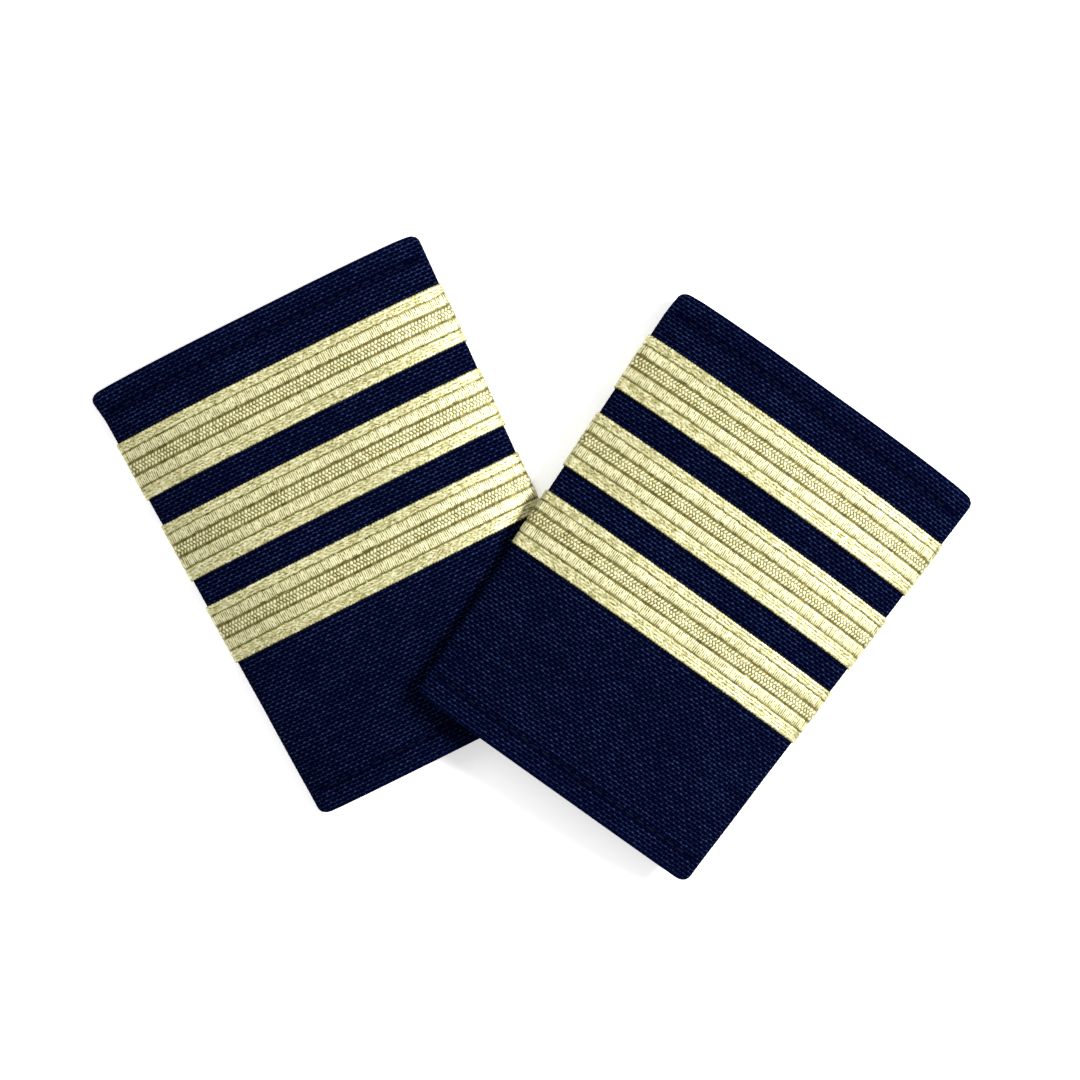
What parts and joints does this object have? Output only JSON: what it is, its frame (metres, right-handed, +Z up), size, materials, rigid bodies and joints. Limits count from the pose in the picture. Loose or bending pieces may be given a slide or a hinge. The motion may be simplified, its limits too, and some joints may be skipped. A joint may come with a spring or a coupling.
{
  "type": "pilot shoulder slides",
  "caption": "Slip-on pilot shoulder slides: tapered navy cloth tubes with metallic gold lace bars across the front, one slide leaning on the other.",
  "frame": {"origin": "under the middle of the pair, on the surface that it lies on", "axes": "+Z up, away from the surface; +X from the left slide to the right one; +Y from the slides' collar ends towards their outer ends"},
  "size_m": [0.1792, 0.1308, 0.0142],
  "materials": {
    "navy_cloth": "matt plain weave, near-black navy with lighter blue yarn crowns",
    "gold_lace": "pale gold metallic thread, ribbed and beaded bands, satin glints",
    "stiffening_board": "matt non-woven stiffener",
    "dark_thread": "twisted polyester sewing thread"
  },
  "bodies": {
    "left_back": {"left_back_seam_strip": "navy_cloth", "left_back_cloth_left": "navy_cloth", "left_back_cloth_right": "navy_cloth", "left_bar_1_tail_left": "gold_lace", "left_bar_1_tail_right": "gold_lace", "left_bar_2_tail_left": "gold_lace", "left_bar_2_tail_right": "gold_lace", "left_bar_3_tail_left": "gold_lace", "left_bar_3_tail_right": "gold_lace"},
    "left_front": {"left_front_cloth": "navy_cloth", "left_front_board": "stiffening_board", "left_outer_hem_stitching": "dark_thread", "left_collar_hem_stitching": "dark_thread", "left_bar_1": "gold_lace", "left_bar_2": "gold_lace", "left_bar_3": "gold_lace"},
    "right_back": {"right_back_seam_strip": "navy_cloth", "right_back_cloth_left": "navy_cloth", "right_back_cloth_right": "navy_cloth", "right_bar_1_tail_left": "gold_lace", "right_bar_1_tail_right": "gold_lace", "right_bar_2_tail_left": "gold_lace", "right_bar_2_tail_right": "gold_lace", "right_bar_3_tail_left": "gold_lace", "right_bar_3_tail_right": "gold_lace"},
    "right_front": {"right_front_cloth": "navy_cloth", "right_front_board": "stiffening_board", "right_outer_hem_stitching": "dark_thread", "right_collar_hem_stitching": "dark_thread", "right_bar_1": "gold_lace", "right_bar_2": "gold_lace", "right_bar_3": "gold_lace"}
  },
  "joints": [
    {"name": "left_tube_opens", "type": "slide", "parent": "left_back", "child": "left_front", "axis": [0, 0, 1], "range_m": [0, 0.004], "stiffness_N_per_m": 150},
    {"name": "right_slide_lifts_off", "type": "slide", "parent": "left_front", "child": "right_back", "axis": [0, 0, 1], "range_m": [0, 0.06]},
    {"name": "right_tube_opens", "type": "slide", "parent": "right_back", "child": "right_front", "axis": [0.0645, 0.031, 0.9974], "range_m": [0, 0.004], "stiffness_N_per_m": 150}
  ]
}
